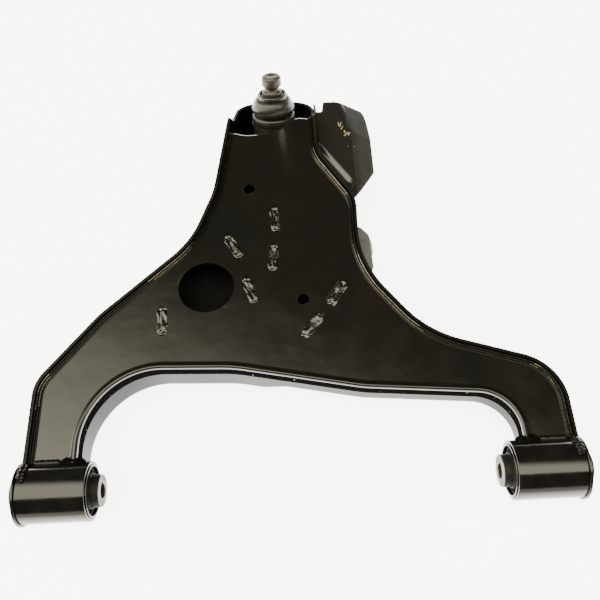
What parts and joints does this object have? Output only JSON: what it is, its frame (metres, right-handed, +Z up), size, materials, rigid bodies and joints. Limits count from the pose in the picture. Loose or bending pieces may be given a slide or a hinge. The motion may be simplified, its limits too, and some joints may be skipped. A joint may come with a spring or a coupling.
{
  "type": "front lower control arm",
  "caption": "Stamped and welded steel front lower control arm for a full-size truck, with two rubber pivot bushings, a pressed-in ball joint and a bump stop bracket.",
  "frame": {"origin": "midpoint of the pivot line, halfway between the centres of the front and rear bushing bores", "axes": "+X along the pivot line towards the front bushing, +Y outboard towards the ball joint, +Z up, the side that the ball stud leaves by"},
  "size_m": [0.528, 0.506, 0.1021],
  "materials": {
    "arm_paint": "gloss",
    "weld": "gloss",
    "bracket_paint": "satin",
    "tube_paint": "gloss",
    "sleeve_steel": "machined",
    "bush_rubber": "matte",
    "boot_rubber": "semi-gloss",
    "stud_steel": "phosphated",
    "housing_steel": "satin",
    "ring_steel": "satin",
    "seat_plastic": "smooth"
  },
  "bodies": {
    "root": {"lower_shell": "arm_paint", "upper_shell": "arm_paint", "rim_weld": "weld", "arch_weld": "weld", "plug_welds": "weld", "inner_rib_front": "arm_paint", "inner_rib_middle": "arm_paint", "inner_rib_rear": "arm_paint", "inner_rib_leg": "arm_paint", "front_bushing_tube": "tube_paint", "rear_bushing_tube": "tube_paint", "front_tube_weld": "weld", "rear_tube_weld": "weld", "front_bushing_shell": "tube_paint", "rear_bushing_shell": "tube_paint", "front_bushing_rubber": "bush_rubber", "rear_bushing_rubber": "bush_rubber", "bump_stop_bracket": "bracket_paint", "bump_stop_weld": "weld", "side_bracket": "bracket_paint", "side_bracket_weld": "weld", "ball_joint_housing": "housing_steel", "housing_retaining_ring": "ring_steel", "ball_joint_cover": "housing_steel", "ball_seat": "seat_plastic", "boot_lower": "boot_rubber", "boot_lower_ring": "ring_steel"},
    "front_sleeve": {"front_inner_sleeve": "sleeve_steel"},
    "rear_sleeve": {"rear_inner_sleeve": "sleeve_steel"},
    "boot_waist": {"boot_waist_ring": "ring_steel"},
    "boot_neck": {"boot_upper": "boot_rubber", "boot_collar": "boot_rubber", "boot_collar_ring": "ring_steel"},
    "stud": {"ball_stud": "stud_steel"}
  },
  "joints": [
    {"name": "front_pivot", "type": "hinge", "parent": "root", "child": "front_sleeve", "pos_m": [0.223, 0, 0], "axis": [1, 0, 0], "range_deg": [-25, 25], "stiffness_Nm_per_rad": 60},
    {"name": "rear_pivot", "type": "hinge", "parent": "root", "child": "rear_sleeve", "pos_m": [-0.223, 0, 0], "axis": [1, 0, 0], "range_deg": [-25, 25], "stiffness_Nm_per_rad": 60},
    {"name": "stud_swing", "type": "hinge", "parent": "root", "child": "boot_waist", "pos_m": [-0.014, 0.439, -0.022], "axis": [1, 0, 0], "range_deg": [-18, 18], "deforming": ["boot_lower"]},
    {"name": "stud_lean", "type": "hinge", "parent": "boot_waist", "child": "boot_neck", "pos_m": [-0.014, 0.439, -0.022], "axis": [0, 0.9272, -0.3746], "range_deg": [-18, 18], "deforming": ["boot_upper"]},
    {"name": "stud_spin", "type": "hinge", "parent": "boot_neck", "child": "stud", "pos_m": [-0.014, 0.439, -0.022], "axis": [0, 0.3746, 0.9272], "continuous": true}
  ]
}
